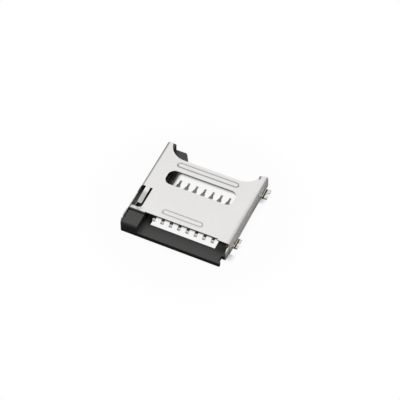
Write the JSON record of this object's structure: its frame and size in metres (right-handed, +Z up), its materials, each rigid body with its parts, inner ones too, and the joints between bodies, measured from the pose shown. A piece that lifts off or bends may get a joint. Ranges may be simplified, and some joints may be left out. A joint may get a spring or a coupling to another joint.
{
  "type": "memory card connector",
  "caption": "Push-push memory card connector: pressed steel shell over a black moulded housing, spring contacts, heart-cam slide and gold-flashed solder feet.",
  "frame": {"origin": "centre of the bounding box in X and Y, on the board plane under the housing and the solder feet", "axes": "+X across the card, from the slide's side to the card detect side; +Y out of the card mouth; +Z up from the board"},
  "size_m": [0.0146, 0.0138, 0.0019],
  "materials": {
    "shell_steel": "pressed stainless sheet, satin, with gold-flashed solder feet",
    "housing_plastic": "moulded, fine matt grain",
    "slide_plastic": "moulded, smoother than the housing",
    "spring_steel": "drawn stainless wire",
    "contact_metal": "phosphor bronze under nickel with a thin gold flash"
  },
  "bodies": {
    "base": {"housing": "housing_plastic", "shell": "shell_steel", "contact_1": "contact_metal", "contact_2": "contact_metal", "contact_3": "contact_metal", "contact_4": "contact_metal", "contact_5": "contact_metal", "contact_6": "contact_metal", "contact_7": "contact_metal", "contact_8": "contact_metal", "detect_leaf": "contact_metal", "detect_terminal": "contact_metal"},
    "slider": {"slide": "slide_plastic", "coil_spring": "spring_steel"},
    "pin": {"cam_pin": "spring_steel"}
  },
  "joints": [
    {"name": "slide_push", "type": "slide", "parent": "base", "child": "slider", "axis": [0, -1, 0], "range_m": [0, 0.0029], "stiffness_N_per_m": 150, "springref_m": -0.002, "deforming": ["coil_spring"]},
    {"name": "pin_swing", "type": "hinge", "parent": "base", "child": "pin", "pos_m": [-0.00645, -0.00407, 0.00138], "axis": [0, 0, 1], "range_deg": [0, 7.16]}
  ],
  "couplings": [
    {"joint": "pin_swing", "follows": "slide_push", "rad_per_m": 43.093}
  ]
}
